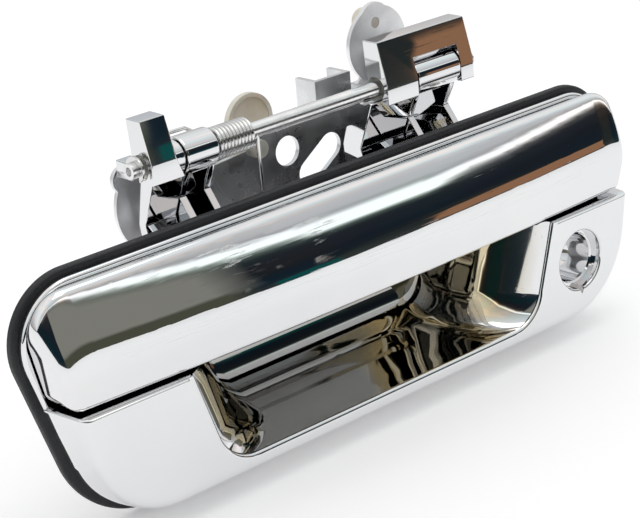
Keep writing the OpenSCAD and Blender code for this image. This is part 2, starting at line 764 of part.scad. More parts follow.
module lock_retainer() color("silver") {
    half = clip_leg_x + clip_leg_w / 2;
    lock_retainer_shape(0);
    // cross bar under the tube
    translate([lock_x, 0, -lock_z])
        box([-half, clip_y, -clip_reach - 1.2], [half, clip_y + clip_sheet, -clip_reach - 0.2]);
}

bezel();
gasket();
paddle();
bump_stops();
pivot_rod();
rod_clips();
arm_bushes();
torsion_spring();
carrier_bracket();
bracket_screws();
mounting_studs();
left_crank();
right_crank();
crank_rivets();
crank_washers();
left_rod_holder();
right_rod_holder();
harness_clip();
lock_lever();
lock_lever_rivet();
lock_retainer();
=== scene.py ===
"""Looks of a lift-up tailgate handle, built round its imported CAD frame.

Shape numbers are millimetres in the CAD's frame: X right, Y into the tailgate, Z up.
"""
import math
import bmesh
import bpy
from mathutils import Matrix, Vector


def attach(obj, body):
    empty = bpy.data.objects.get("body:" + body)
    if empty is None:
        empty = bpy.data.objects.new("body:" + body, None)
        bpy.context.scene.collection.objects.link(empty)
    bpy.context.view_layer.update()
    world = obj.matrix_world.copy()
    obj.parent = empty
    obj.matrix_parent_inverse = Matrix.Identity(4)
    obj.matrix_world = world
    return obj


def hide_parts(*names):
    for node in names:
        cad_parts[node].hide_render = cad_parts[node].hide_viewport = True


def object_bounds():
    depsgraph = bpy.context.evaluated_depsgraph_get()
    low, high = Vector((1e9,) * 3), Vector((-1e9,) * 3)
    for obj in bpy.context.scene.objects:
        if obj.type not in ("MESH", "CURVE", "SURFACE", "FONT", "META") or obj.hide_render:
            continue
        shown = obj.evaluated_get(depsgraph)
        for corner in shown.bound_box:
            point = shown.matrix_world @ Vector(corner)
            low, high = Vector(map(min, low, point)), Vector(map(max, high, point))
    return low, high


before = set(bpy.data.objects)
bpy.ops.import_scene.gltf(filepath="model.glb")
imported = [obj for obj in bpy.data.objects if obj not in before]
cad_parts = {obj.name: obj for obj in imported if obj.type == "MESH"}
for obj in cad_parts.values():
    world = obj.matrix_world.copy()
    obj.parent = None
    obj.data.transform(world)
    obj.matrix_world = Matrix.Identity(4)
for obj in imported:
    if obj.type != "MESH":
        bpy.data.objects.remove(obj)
CAD_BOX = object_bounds()
MM = 0.001

# ---------------------------------------------------------------- sizes, as in part.scad
RIM_HALF_W = 107.9
RIM_TOP = 34.0
RIM_BOTTOM = 37.2
LEAN = 0.31
RIM_R_TOP = 17.0
RIM_R_BOTTOM = 27.5
RIM_Y = -5.2
RIM_T = 2.2
APRON_HALF_W = 106.2
APRON_BOTTOM = 33.0
APRON_TOP = 1.4
FACE_Y = -20.0
WALL = 2.2
SKIRT_Y = -0.6
MOUTH_HALF_W = 70.0
MOUTH_BOTTOM = 28.2
MOUTH_R = 13.0
POCKET_TOP = 9.0
POCKET_BACK = 18.0
LOCK_X = 82.5
LOCK_Z = -14.2
LOCK_R = 7.7
LOCK_HEAD_R = 9.5
LOCK_HEAD_DEPTH = 3.0
LOCK_BACK = 4.0
PADDLE_HALF = 112.0
PADDLE_WALL = 2.4
PADDLE_BACK = -6.0
PADDLE_FRONT = -20.37
PADDLE_LEAN = 0.2
LEAN_START = 25.0
PADDLE_LOW = 2.2
PADDLE_HIGH = 33.4
PIVOT_Y = 15.0
PIVOT_Z = 48.3
ROD_R = 2.4
HUB_R = 5.6
ARM_HUB_R = 5.0
HORN_HEIGHT = 14.4
WEB_REACH = 8.0
BUSH_R = 3.65
LEFT_ARM = (-54.0, -43.2)
LEFT_EAR = (-42.8, -31.6)
RIGHT_ARM = (36.0, 46.2)
RIGHT_EAR = (46.6, 64.4)
END_HUB = (64.8, 70.4)
SPRING_TURNS = 10
SPRING_WIRE = 1.2
SPRING_R = 4.2
BRACKET_Y = 27.0
STUD_X = 96.0
STUD_D = 6.0
GASKET_T = 3.0
GASKET_BAND = 5.0
GASKET_PROUD = 2.0
LEVER_PIVOT = (69.0, -2.0)
LEVER_Y = 6.2
SCREWS = [(-22.0, 4.0), (26.0, 4.0), (-37.2, 21.0), (55.5, 21.0)]
FINGER_LOW = 44.0
FINGER_TIP = 30.0
PAST_ENDS = 120.0  # a half width that clears both ends of the rim

# ---------------------------------------------------------------- sizes of the looks alone
HOOK_BACK = 2.85  # the spring's hooked leg, behind the coil and above the rod
HOOK_UP = 4.6
FLOOR_DROP = 0.0008
FLOOR_HALF = 3.0
FLOOR_GLOW = 0.24
OVERHEAD_AT = (0.25, -0.1, 1.1)
OVERHEAD_SIZE = (0.9, 0.5)
OVERHEAD_POWER = 1.7
CHROME_DULL = (0.765, 0.77, 0.785)
CHROME_BRIGHT = (0.80, 0.80, 0.805)
CAMERA_AT = (-0.35392, -0.41020, 0.21047)
CAMERA_LENS = 111.76


# ---------------------------------------------------------------- outlines and meshes
def arc(cx, cz, r, a0, a1, steps):
    """Points on an arc from angle a0 to a1, in degrees."""
    out = []
    for i in range(steps + 1):
        a = math.radians(a0 + (a1 - a0) * i / steps)
        out.append((cx + r * math.cos(a), cz + r * math.sin(a)))
    return out


def keystone(mid, lean, top, bottom, r_top, r_bottom, steps=20):
    """Closed outline, wider at the top, with rounded corners; each side has the same number of points."""
    k = math.hypot(1, lean)
    tilt = math.degrees(math.atan(lean))
    z_top = top - r_top
    z_low = r_bottom - bottom
    right = arc(mid + lean * z_top - r_top * k, z_top, r_top, 90, -tilt, steps)
    right += arc(mid + lean * z_low - r_bottom * k, z_low, r_bottom, -tilt, -90, steps)
    return right + [(-x, z) for x, z in reversed(right)]


def rim_outline(inset, steps=20):
    k = math.hypot(1, LEAN)
    return keystone(RIM_HALF_W - inset * k, LEAN, RIM_TOP - inset, RIM_BOTTOM - inset,
                    RIM_R_TOP - inset, RIM_R_BOTTOM - inset, steps)


def lower_outline(mid, lean, bottom, r, z_top, z_corner, steps=28):
    """Lower part of a keystone, cut off flat at z_top, with small round corners there."""
    k = math.hypot(1, lean)
    tilt = math.degrees(math.atan(lean))
    z_low = r - bottom
    side = mid + lean * z_top
    small = max(z_corner, 0.05)
    right = [(side * f, z_top) for f in (0.0, 0.25, 0.5, 0.75)]
    right += arc(side - small * (k - lean) - lean * small, z_top - small, small, 90, -tilt, 5)
    right += arc(mid + lean * z_low - r * k, z_low, r, -tilt, -90, steps)
    right += [(x, -bottom) for x in (40.0, 15.0)]
    left = [(-x, z) for x, z in reversed(right[1:])]
    return right + left


def build(name, points, faces):
    """Mesh object from points in millimetres."""
    mesh = bpy.data.meshes.new(name)
    mesh.from_pydata([(x * MM, y * MM, z * MM) for x, y, z in points], [], faces)
    mesh.validate()
    work = bmesh.new()
    work.from_mesh(mesh)
    bmesh.ops.recalc_face_normals(work, faces=work.faces)
    work.to_mesh(mesh)
    work.free()
    obj = bpy.data.objects.new(name, mesh)
    bpy.context.scene.collection.objects.link(obj)
    return obj


def loft(name, rings, capped=True):
    """Closed skin through rings of points, each with the same number of points."""
    n = len(rings[0])
    points = [p for ring in rings for p in ring]
    faces = []
    for i in range(len(rings) - 1):
        for k in range(n):
            a = i * n + k
            b = i * n + (k + 1) % n
            faces.append((a, b, b + n, a + n))
    if capped:
        faces.append(tuple(range(n)))
        faces.append(tuple(range((len(rings) - 1) * n, len(rings) * n)))
    return build(name, points, faces)


def loop(name, rings):
    """Skin through rings that also close on each other, such as a gasket."""
    n = len(rings[0])
    points = [p for ring in rings for p in ring]
    faces = []
    for i in range(len(rings)):
        j = (i + 1) % len(rings)
        for k in range(n):
            m = (k + 1) % n
            faces.append((i * n + k, i * n + m, j * n + m, j * n + k))
    return build(name, points, faces)


def at_y(outline, y):
    return [(x, y, z) for x, z in outline]


def soften(obj, width, angle=32.0, segments=2):
    """Rounds the sharp edges of one mesh in place."""
    work = bmesh.new()
    work.from_mesh(obj.data)
    sharp = [e for e in work.edges
             if len(e.link_faces) == 2 and e.calc_face_angle(0) > math.radians(angle)]
    bmesh.ops.bevel(work, geom=sharp, offset=width * MM, segments=segments, profile=0.5,
                    affect="EDGES", clamp_overlap=True)
    work.to_mesh(obj.data)
    work.free()
    return obj


def prism(name, axis, outline, low, high, width=0.3):
    """Outline pushed along an axis from low to high, with softened edges."""
    if axis == "x":
        rings = [[(t, a, b) for a, b in outline] for t in (low, high)]
    elif axis == "y":
        rings = [[(a, t, b) for a, b in outline] for t in (low, high)]
    else:
        rings = [[(a, b, t) for a, b in outline] for t in (low, high)]
    obj = loft(name, rings)
    return soften(obj, width) if width else obj


def block(name, low, high, width=0.3):
    outline = [(low[1], low[2]), (high[1], low[2]), (high[1], high[2]), (low[1], high[2])]
    return prism(name, "x", outline, low[0], high[0], width)


def turned(name, axis, centre, profile, sides=48):
    """Solid of revolution: profile is (place along the axis, radius) from one end to the other."""
    rings = []
    for t, r in profile:
        ring = []
        for k in range(sides):
            a = 2 * math.pi * k / sides
            u, v = r * math.cos(a), r * math.sin(a)
            if axis == "x":
                ring.append((t, centre[0] + u, centre[1] + v))
            else:
                ring.append((centre[0] + u, t, centre[1] + v))
        rings.append(ring)
    return loft(name, rings)


def bar(name, axis, r, low, high, centre, width=0.3, sides=48):
    """Round bar with softened rims."""
    if width <= 0:
        return turned(name, axis, centre, [(low, r), (high, r)], sides)
    profile = []
    for i in range(4):
        a = math.radians(90 - 30 * i)
        profile.append((low + width * (1 - math.sin(a)), r - width * (1 - math.cos(a))))
    far = [(low + high - t, q) for t, q in reversed(profile)]
    return turned(name, axis, centre, profile + far, sides)


def rod_bar(name, r, span, width=0.3):
    return bar(name, "x", r, span[0], span[1], (PIVOT_Y, PIVOT_Z), width)


def combine(target, others, operation):
    """Adds others to target, or cuts them from it."""
    for other in others:
        modifier = target.modifiers.new("combine", "BOOLEAN")
        modifier.object = other
        modifier.operation = operation
        modifier.solver = "MANIFOLD"
        graph = bpy.context.evaluated_depsgraph_get()
        mesh = bpy.data.meshes.new_from_object(target.evaluated_get(graph))
        target.modifiers.clear()
        target.data = mesh
        bpy.data.objects.remove(other)
    return target


def tidy(obj, merge=0.004, flat=0.4):
    """Welds tiny gaps and joins flat faces."""
    work = bmesh.new()
    work.from_mesh(obj.data)
    bmesh.ops.remove_doubles(work, verts=work.verts, dist=merge * MM)
    bmesh.ops.dissolve_degenerate(work, edges=work.edges, dist=merge * MM)
    bmesh.ops.dissolve_limit(work, angle_limit=math.radians(flat), verts=work.verts, edges=work.edges)
    work.to_mesh(obj.data)
    work.free()
    return obj


def shade(obj, angle=30.0):
    """Smooth shading that keeps flat faces flat and creases sharp."""
    obj.data.shade_smooth()
    obj.data.set_sharp_from_angle(angle=math.radians(angle))
    weighted = obj.modifiers.new("weighted", "WEIGHTED_NORMAL")
    weighted.keep_sharp = True
    weighted.weight = 60
    return obj


def place(obj, name, body, material, nodes):
    """Names a finished piece, gives it its material and hangs it on its body."""
    obj.name = name
    obj.data.name = name
    obj.data.materials.clear()
    obj.data.materials.append(material)
    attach(obj, body)
    if nodes:
        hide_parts(*nodes)
    return obj


def finer(node, width, body, material, angle=32.0):
    """Rounded copy of a small CAD node that stands for it."""
    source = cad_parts[node]
    obj = bpy.data.objects.new(node + "_fine", source.data.copy())
    bpy.context.scene.collection.objects.link(obj)
    work = bmesh.new()
    work.from_mesh(obj.data)
    bmesh.ops.remove_doubles(work, verts=work.verts, dist=0.002 * MM)
    bmesh.ops.dissolve_limit(work, angle_limit=math.radians(1.0), verts=work.verts, edges=work.edges)
    work.to_mesh(obj.data)
    work.free()
    soften(obj, width, angle)
    shade(obj)
    return place(obj, node + "_fine", body, material, [node])


# ---------------------------------------------------------------- materials
class Graph:
    """Small helper round one material's node tree."""

    def __init__(self, name):
        self.material = bpy.data.materials.new(name)
        self.material.use_nodes = True
        self.tree = self.material.node_tree
        self.shader = self.tree.nodes["Principled BSDF"]
        coords = self.tree.nodes.new("ShaderNodeTexCoord")
        self.coords = coords.outputs["Object"]

    def node(self, kind, **values):
        made = self.tree.nodes.new(kind)
        for key, value in values.items():
            setattr(made, key, value)
        return made

    def link(self, a, b):
        self.tree.links.new(a, b)

    def stretched(self, scale, rotation=(0, 0, 0)):
        """Object coordinates, stretched and turned."""
        mapping = self.node("ShaderNodeMapping")
        mapping.inputs["Scale"].default_value = scale
        mapping.inputs["Rotation"].default_value = rotation
        self.link(self.coords, mapping.inputs["Vector"])
        return mapping.outputs["Vector"]

    def noise(self, scale, detail=2.0, rough=0.5, vector=None, distortion=0.0):
        made = self.node("ShaderNodeTexNoise")
        made.inputs["Scale"].default_value = scale
        made.inputs["Detail"].default_value = detail
        made.inputs["Roughness"].default_value = rough
        made.inputs["Distortion"].default_value = distortion
        self.link(vector or self.coords, made.inputs["Vector"])
        return made.outputs["Fac"]

    def spread(self, value, low, high, out_low, out_high):
        made = self.node("ShaderNodeMapRange")
        made.clamp = True
        made.inputs["From Min"].default_value = low
        made.inputs["From Max"].default_value = high
        made.inputs["To Min"].default_value = out_low
        made.inputs["To Max"].default_value = out_high
        self.link(value, made.inputs["Value"])
        return made.outputs["Result"]

    def math(self, operation, a, b):
        made = self.node("ShaderNodeMath", operation=operation)
        for socket, value in zip(made.inputs, (a, b)):
            if isinstance(value, (int, float)):
                socket.default_value = value
            else:
                self.link(value, socket)
        return made.outputs["Value"]

    def blend(self, share, a, b):
        """Colour mix from a to b by share."""
        made = self.node("ShaderNodeMix", data_type="RGBA")
        for socket, value in ((made.inputs[0], share), (made.inputs[6], a), (made.inputs[7], b)):
            if isinstance(value, (int, float)):
                socket.default_value = value
            elif isinstance(value, tuple):
                socket.default_value = (*value, 1.0)
            else:
                self.link(value, socket)
        return made.outputs[2]

    def bump(self, height, strength, distance, below=None):
        made = self.node("ShaderNodeBump")
        made.inputs["Strength"].default_value = strength
        made.inputs["Distance"].default_value = distance
        self.link(height, made.inputs["Height"])
        if below is not None:
            self.link(below, made.inputs["Normal"])
        return made.outputs["Normal"]

    def edges(self, low, high):
        """1 on worn edges, 0 elsewhere."""
        geometry = self.node("ShaderNodeNewGeometry")
        return self.spread(geometry.outputs["Pointiness"], low, high, 0.0, 1.0)

    def put(self, socket, value):
        target = self.shader.inputs[socket]
        if isinstance(value, (int, float)):
            target.default_value = value
        elif isinstance(value, tuple):
            target.default_value = (*value, 1.0)
        else:
            self.link(value, target)


def scratches(g, scale, rotation, low=0.62, high=0.7):
    """Sparse thin lines along one direction."""
    vector = g.stretched((scale * 0.02, scale, scale), rotation)
    lines = g.noise(1.0, 3.0, 0.6, vector)
    patches = g.noise(38.0, 1.0)
    return g.math("MULTIPLY", g.spread(lines, low, high, 0.0, 1.0), g.spread(patches, 0.48, 0.66, 0.0, 1.0))


def chrome_material(name, scuffed):
    """Bright chrome plating on moulded plastic: faint orange peel, hairlines and dulled edges."""
    g = Graph(name)
    peel = g.noise(46.0, 1.0)
    wave = g.noise(15.0, 0.0)
    hair = scratches(g, 1500.0, (0.2, 0.1, 0.35))
    cross = scratches(g, 1100.0, (0.0, 0.5, -0.6))
    worn = g.edges(0.53, 0.62)
    film = g.noise(22.0, 3.0, 0.6)
    rough = g.spread(film, 0.4, 0.75, 0.012, 0.05)
    rough = g.math("ADD", rough, g.math("MULTIPLY", hair, 0.10))
    rough = g.math("ADD", rough, g.math("MULTIPLY", cross, 0.08))
    rough = g.math("ADD", rough, g.math("MULTIPLY", worn, 0.10))
    tint = g.blend(g.spread(film, 0.3, 0.7, 0.0, 1.0), CHROME_DULL, CHROME_BRIGHT)
    if scuffed:
        smear = scuff_mask(g)
        rough = g.math("ADD", rough, g.math("MULTIPLY", smear, 0.42))
    else:
        # Painted shade: the chrome turns dark grey deep in the finger pocket, and takes a painted golden
        # reflection at the pocket's right end.
        deep, painted_warm_reflection = pocket_painted_shade_and_reflection(g)
        tint = g.blend(deep, tint, (0.40, 0.40, 0.39))
        tint = g.blend(painted_warm_reflection, tint, (0.78, 0.66, 0.42))
    g.put("Base Color", tint)
    g.put("Metallic", 1.0)
    g.put("Roughness", rough)
    normal = g.bump(wave, 0.05, 0.004)
    normal = g.bump(peel, 0.035, 0.0008, normal)
    normal = g.bump(hair, 0.12, 0.00003, normal)
    g.put("Normal", normal)
    return g.material


def pocket_painted_shade_and_reflection(g):
    """Painted shade deep in the finger pocket, and a painted golden reflection at its right end."""
    split = g.node("ShaderNodeSeparateXYZ")
    g.link(g.coords, split.inputs["Vector"])
    x, y, z = (split.outputs[axis] for axis in "XYZ")
    inside = g.spread(g.math("ABSOLUTE", x, 0.0), 0.064, 0.070, 1.0, 0.0)
    back = g.spread(y, -0.018, -0.010, 0.0, 1.0)
    low = g.spread(z, -0.0275, -0.024, 0.0, 1.0)
    under = g.spread(z, 0.009, 0.0095, 1.0, 0.0)
    # painted shade: this mask darkens the chrome inside the finger pocket
    deep = g.math("MULTIPLY", g.math("MULTIPLY", inside, back), g.math("MULTIPLY", low, under))
    # painted reflection: a gold tint laid over the painted shade at the pocket's right end
    painted_warm_reflection = g.math("MULTIPLY", g.spread(x, 0.040, 0.050, 0.0, 0.8), deep)
    return deep, painted_warm_reflection


def scuff_mask(g):
    """Hazy rubbed streaks on the paddle, left of its middle."""
    spot = g.node("ShaderNodeMapping", vector_type="POINT")
    spot.inputs["Location"].default_value = (0.040 / 0.036, 0.0, -0.026 / 0.014)
    spot.inputs["Scale"].default_value = (1 / 0.036, 0.0, 1 / 0.014)
    g.link(g.coords, spot.inputs["Vector"])
    fall = g.node("ShaderNodeTexGradient", gradient_type="SPHERICAL")
    g.link(spot.outputs["Vector"], fall.inputs["Vector"])
    vector = g.stretched((60.0, 500.0, 700.0), (0.0, 0.62, 0.0))
    strands = g.noise(1.0, 4.0, 0.65, vector, 0.4)
    cloud = g.noise(90.0, 3.0, 0.6)
    mask = g.math("MULTIPLY", g.spread(strands, 0.53, 0.66, 0.0, 1.0), g.spread(cloud, 0.45, 0.62, 0.0, 1.0))
    return g.math("MULTIPLY", mask, g.spread(fall.outputs["Fac"], 0.0, 0.5, 0.0, 1.0))


def metal_material(name, colour, rough_low, rough_high, brushed=0.0, spangle=0.0):
    """Plated or polished steel, with brushing, crystal patches or scratches."""
    g = Graph(name)
    cloud = g.noise(90.0, 4.0, 0.6)
    rough = g.spread(cloud, 0.3, 0.72, rough_low, rough_high)
    dark = tuple(c * 0.82 for c in colour)
    tint = g.blend(g.spread(cloud, 0.35, 0.7, 0.0, 1.0), colour, dark)
    hair = scratches(g, 1800.0, (0.1, 0.4, 0.2), 0.58, 0.68)
    rough = g.math("ADD", rough, g.math("MULTIPLY", hair, 0.14))
    normal = g.bump(cloud, 0.05, 0.0003)
    if brushed:
        vector = g.stretched((70.0, 2600.0, 2600.0))
        lines = g.noise(1.0, 3.0, 0.6, vector)
        normal = g.bump(lines, brushed, 0.00004, normal)
    if spangle:
        cells = g.node("ShaderNodeTexVoronoi", feature="F1")
        cells.inputs["Scale"].default_value = 260.0
        g.link(g.coords, cells.inputs["Vector"])
        spots = g.spread(cells.outputs["Distance"], 0.1, 0.9, 0.0, 1.0)
        tint = g.blend(g.math("MULTIPLY", spots, spangle), tint, dark)
        rough = g.math("ADD", rough, g.math("MULTIPLY", spots, 0.06))
    worn = g.edges(0.53, 0.62)
    rough = g.math("ADD", rough, g.math("MULTIPLY", worn, 0.08))
    g.put("Base Color", tint)
    g.put("Metallic", 1.0)
    g.put("Roughness", rough)
    g.put("Normal", normal)
    return g.material


def rubber_material():
    """Black closed-cell gasket rubber with a dusty bloom."""
    g = Graph("gasket_rubber")
    grain = g.noise(1400.0, 4.0, 0.7)
    bloom = g.noise(70.0, 3.0, 0.6)
    worn = g.edges(0.52, 0.6)
    share = g.math("ADD", g.spread(bloom, 0.4, 0.75, 0.0, 0.5), g.math("MULTIPLY", worn, 0.3))
    g.put("Base Color", g.blend(share, (0.006, 0.007, 0.009), (0.020, 0.021, 0.024)))
    g.put("Roughness", g.spread(grain, 0.3, 0.7, 0.42, 0.68))
    g.put("Normal", g.bump(grain, 0.35, 0.0001))
    return g.material


def nylon_material():
    """Natural nylon, slightly waxy and a little soiled."""
    g = Graph("nylon")
    cloud = g.noise(120.0, 3.0, 0.6)
    grain = g.noise(900.0, 3.0, 0.6)
    worn = g.edges(0.52, 0.6)
    tint = g.blend(g.spread(cloud, 0.3, 0.75, 0.0, 1.0), (0.80, 0.76, 0.67), (0.66, 0.61, 0.50))
    g.put("Base Color", g.blend(g.math("MULTIPLY", worn, 0.4), tint, (0.9, 0.88, 0.82)))
    g.put("Roughness", g.spread(cloud, 0.3, 0.7, 0.32, 0.48))
    g.put("Subsurface Weight", 0.12)
    g.put("Normal", g.bump(grain, 0.12, 0.00008))
    return g.material


# ---------------------------------------------------------------- pieces
def apron_rings(inset, front, back, lip, top_lip, corner):
    """Rings of the drafted apron from its face to the rim, with a rounded front edge."""
    rings = []
    steps = 8

    def at(share, inset_here, top_here, y):
        mid = APRON_HALF_W + (RIM_HALF_W - APRON_HALF_W) * share
        lean = LEAN / 2 + LEAN / 2 * share
        bottom = APRON_BOTTOM + (RIM_BOTTOM - APRON_BOTTOM) * share
        gone = inset + inset_here
        return at_y(lower_outline(mid - gone, lean, bottom - gone, RIM_R_BOTTOM - gone,
                                  APRON_TOP - inset - top_here, corner), y)

    depth = RIM_Y - FACE_Y
    for i in range(steps + 1):
        a = math.radians(90 * i / steps)
        y = front + lip * (1 - math.cos(a))
        rings.append(at(max(0.0, (y - FACE_Y) / depth), lip * (1 - math.sin(a)),
                        top_lip * (1 - math.sin(a)), y))
    for i in range(1, 7):
        y = front + lip + (RIM_Y - front - lip) * i / 6
        rings.append(at((y - FACE_Y) / depth, 0, 0, y))
    if back > RIM_Y:
        rings.append(at(1.0, 0, 0, back))
    return rings


def pocket_rings(grow):
    """Rings of the finger pocket: a flared lip, scooped ends, a rising floor and a stepped rear wall."""
    stops = [(FACE_Y, MOUTH_HALF_W, MOUTH_BOTTOM, MOUTH_R),
             (-16.0, 65.2, 28.1, 13.4), (-12.0, 60.4, 27.8, 13.8),
             (-8.0, 56.8, 27.4, 13.8), (-2.0, 54.0, 26.8, 13.2), (4.0, 52.2, 25.8, 12.4),
             (8.0, 51.0, 24.4, 11.6), (11.0, 50.0, 22.4, 10.6), (13.2, 49.2, 19.8, 9.4),
             (14.6, 48.6, 16.6, 8.0), (15.0, 48.2, 13.6, 6.4), (15.1, 47.8, 10.4, 4.6),
             (15.4, 47.4, 9.4, 4.0), (16.8, 46.8, 8.8, 3.8), (17.7, 46.0, 8.0, 3.4),
             (POCKET_BACK, 45.2, 6.8, 3.0)]
    rings = []
    for i in range(len(stops)):
        y, half, bottom, r = stops[i]
        top = POCKET_TOP if y < 14 else POCKET_TOP - (y - 14)
        rings.append(at_y(keystone(half + grow, LEAN, top + grow, bottom + grow, 3.0, r + grow, 14),
                          y + (grow if i > 6 else 0.0)))
    return rings


def mouth_cutter():
    """Pocket space with a flared lip where it meets the apron's face."""
    flare = 1.3
    rings = []
    for i in range(7):
        a = math.radians(90 * i / 6)
        out = flare * (1 - math.sin(a))
        y = FACE_Y + flare * (1 - math.cos(a))
        rings.append(at_y(keystone(MOUTH_HALF_W + out, LEAN, POCKET_TOP, MOUTH_BOTTOM + out, 3.0,
                                   MOUTH_R + out, 14), y))
    first = [(x, FACE_Y - 1.0, z) for x, y, z in rings[0]]
    body = [r for r in pocket_rings(0.0) if r[0][1] > FACE_Y + flare + 0.2]
    return loft("mouth", [first] + rings + body)


def bore_cutter():
    """Lock bore with a rounded mouth and a shoulder for the cylinder's head."""
    lip = 0.9
    profile = [(FACE_Y - 1.0, LOCK_HEAD_R + lip)]
    for i in range(6):
        a = math.radians(90 * i / 5)
        profile.append((FACE_Y + lip * (1 - math.cos(a)), LOCK_HEAD_R + lip * (1 - math.sin(a))))
    deep = FACE_Y + LOCK_HEAD_DEPTH
    profile += [(deep, LOCK_HEAD_R), (deep + 0.02, LOCK_R + 0.5), (deep + 0.5, LOCK_R),
                (LOCK_BACK + 1.0, LOCK_R)]
    return turned("bore", "y", (LOCK_X, LOCK_Z), profile, 72)


def ear_parts(span, rib_t):
    """Ribs, rear web and hub of one ear that holds the rod."""
    side = [(RIM_Y + RIM_T, POCKET_TOP + 4), (6, POCKET_TOP), (POCKET_BACK + 1, POCKET_TOP),
            (BRACKET_Y, 14), (BRACKET_Y, 25), (PIVOT_Y + 7.5, 30), (PIVOT_Y + HUB_R - 0.6, PIVOT_Z),
            (PIVOT_Y - HUB_R + 0.6, PIVOT_Z), (PIVOT_Y + 0.8, 36), (9, 27), (RIM_Y + RIM_T, 23)]
    web = [(POCKET_BACK - 3, POCKET_TOP), (BRACKET_Y, 14), (BRACKET_Y, 25), (PIVOT_Y + 7.5, 30),
           (PIVOT_Y + HUB_R - 0.6, PIVOT_Z - 3), (PIVOT_Y + 2, PIVOT_Z - 3), (PIVOT_Y + 3, 31),
           (BRACKET_Y - 6, 24), (BRACKET_Y - 6, 15), (POCKET_BACK - 5, POCKET_TOP)]
    parts = [rod_bar("hub", HUB_R, span, 0.5)]
    for x in (span[0], span[1] - rib_t):
        parts.append(prism("rib", "x", side, x, x + rib_t, 0.35))
    parts.append(prism("web", "x", web, span[0] + 0.05, span[1] - 0.05, 0.35))
    return parts


def bezel_piece(material):
    """Chromed bezel: drafted apron, rim, scooped finger pocket, lock tube, ears and posts."""
    skin_in = GASKET_BAND - GASKET_PROUD + 0.2
    bezel = loft("bezel", apron_rings(0.0, FACE_Y, RIM_Y + RIM_T, 2.8, 0.9, 0.7))
    rim = []
    for i in range(6):
        a = math.radians(90 * i / 5)
        rim.append(at_y(rim_outline(1.1 * (1 - math.sin(a))), RIM_Y + 1.1 * (1 - math.cos(a))))
    rim.append(at_y(rim_outline(0.0), RIM_Y + RIM_T - 0.3))
    rim.append(at_y(rim_outline(0.3), RIM_Y + RIM_T))
    combine(bezel, [loft("rim", rim),
                    loft("skirt", [at_y(rim_outline(skin_in), y) for y in (RIM_Y + 0.5, SKIRT_Y)])], "UNION")
    hollow = loft("hollow", apron_rings(WALL, FACE_Y + WALL, RIM_Y, 1.6, 0.6, 0.5))
    back = loft("back", [at_y(rim_outline(skin_in + WALL), y) for y in (RIM_Y + RIM_T, 0.1)])
    low = [at_y(lower_outline(RIM_HALF_W - skin_in - WALL, LEAN, RIM_BOTTOM - skin_in - WALL,
                              RIM_R_BOTTOM - skin_in - WALL, APRON_TOP - WALL, 0.5), y)
           for y in (RIM_Y - 0.1, RIM_Y + RIM_T + 0.1)]
    combine(bezel, [hollow, back, loft("low", low)], "DIFFERENCE")
    shell = loft("shell", pocket_rings(WALL))
    combine(shell, [block("clear", (-PAST_ENDS, FACE_Y - 1, APRON_TOP), (PAST_ENDS, RIM_Y, RIM_TOP), 0)],
            "DIFFERENCE")
    parts = [shell]
    tube = bar("tube", "y", LOCK_R + 2 * WALL, FACE_Y + 0.4, LOCK_BACK, (LOCK_X, LOCK_Z), 0.4, 64)
    combine(tube, [block("cut", (60, FACE_Y - 1, APRON_TOP - 0.1), (PAST_ENDS, LOCK_BACK + 1, 40), 0)],
            "DIFFERENCE")
    parts.append(tube)
    for side in (-1, 1):
        parts.append(bar("boss", "y", STUD_D / 2 + 3.5, RIM_Y + 0.2, SKIRT_Y, (side * STUD_X, 0), 0.3))
    parts += ear_parts(LEFT_EAR, 2.4)
    parts += ear_parts(RIGHT_EAR, 2.4)
    for place_xz in SCREWS[:2]:
        parts.append(bar("post", "y", 4.5, POCKET_BACK - 1, BRACKET_Y, place_xz, 0.4))
    parts.append(bar("lever_post", "y", 4.0, FACE_Y + WALL / 2, LEVER_Y - 0.2, LEVER_PIVOT, 0.3))
    parts.append(block("lug", (-21, RIM_Y + RIM_T / 2, 20),
                       (-15, PIVOT_Y - SPRING_R - SPRING_WIRE / 2, 27), 0.4))
    combine(bezel, parts, "UNION")
    cuts = [mouth_cutter(), bore_cutter()]
    for low_x, high_x in (LEFT_ARM, (RIGHT_ARM[0] - WEB_REACH, RIGHT_ARM[1])):
        cuts.append(block("slot", (low_x - 1, RIM_Y - 0.1, POCKET_TOP + WALL + 0.4),
                          (high_x + 1, -SKIRT_Y, RIM_TOP - 4), 0))
    notch = [(LOCK_X - 1.7, LOCK_Z - LOCK_HEAD_R + 0.6), (LOCK_X + 1.7, LOCK_Z - LOCK_HEAD_R + 0.6),
             (LOCK_X, LOCK_Z - LOCK_HEAD_R - 2)]
    cuts.append(prism("notch", "y", notch, FACE_Y - 1, FACE_Y + LOCK_HEAD_DEPTH, 0))
    for side in (-1, 1):
        cuts.append(bar("stud_hole", "y", STUD_D / 2 - 0.5, RIM_Y + 1, 0.5, (side * STUD_X, 0), 0))
        cuts.append(bar("flange_hole", "y", STUD_D / 2 + 2, RIM_Y + 1, RIM_Y + 2.5, (side * STUD_X, 0), 0))
    cuts.append(rod_bar("rod_hole", ROD_R + 0.02, (-60, 74), 0))
    for place_xz in SCREWS:
        cuts.append(bar("screw_hole", "y", 1.9, BRACKET_Y - 10, BRACKET_Y + 0.1, place_xz, 0, 32))
    cuts.append(bar("lever_hole", "y", 2.0, LEVER_Y - 9, LEVER_Y, LEVER_PIVOT, 0, 32))
    reach = LOCK_R + 2 * WALL
    for side in (-1, 1):
        middle = LOCK_X + side * (LOCK_R + 1.2)
        cuts.append(block("clip_slot", (middle - 1.05, 0.25, LOCK_Z - reach - 1.15),
                          (middle + 1.05, 1.75, LOCK_Z + reach - 0.85), 0))
    combine(bezel, cuts, "DIFFERENCE")
    tidy(bezel)
    shade(bezel)
    return place(bezel, "bezel_shell", "housing", material, ["bezel"])


def corner_drop(x, half, r):
    past = min(max(0.0, x - half + r), r)
    return r - math.sqrt(max(0.0, r * r - past * past))


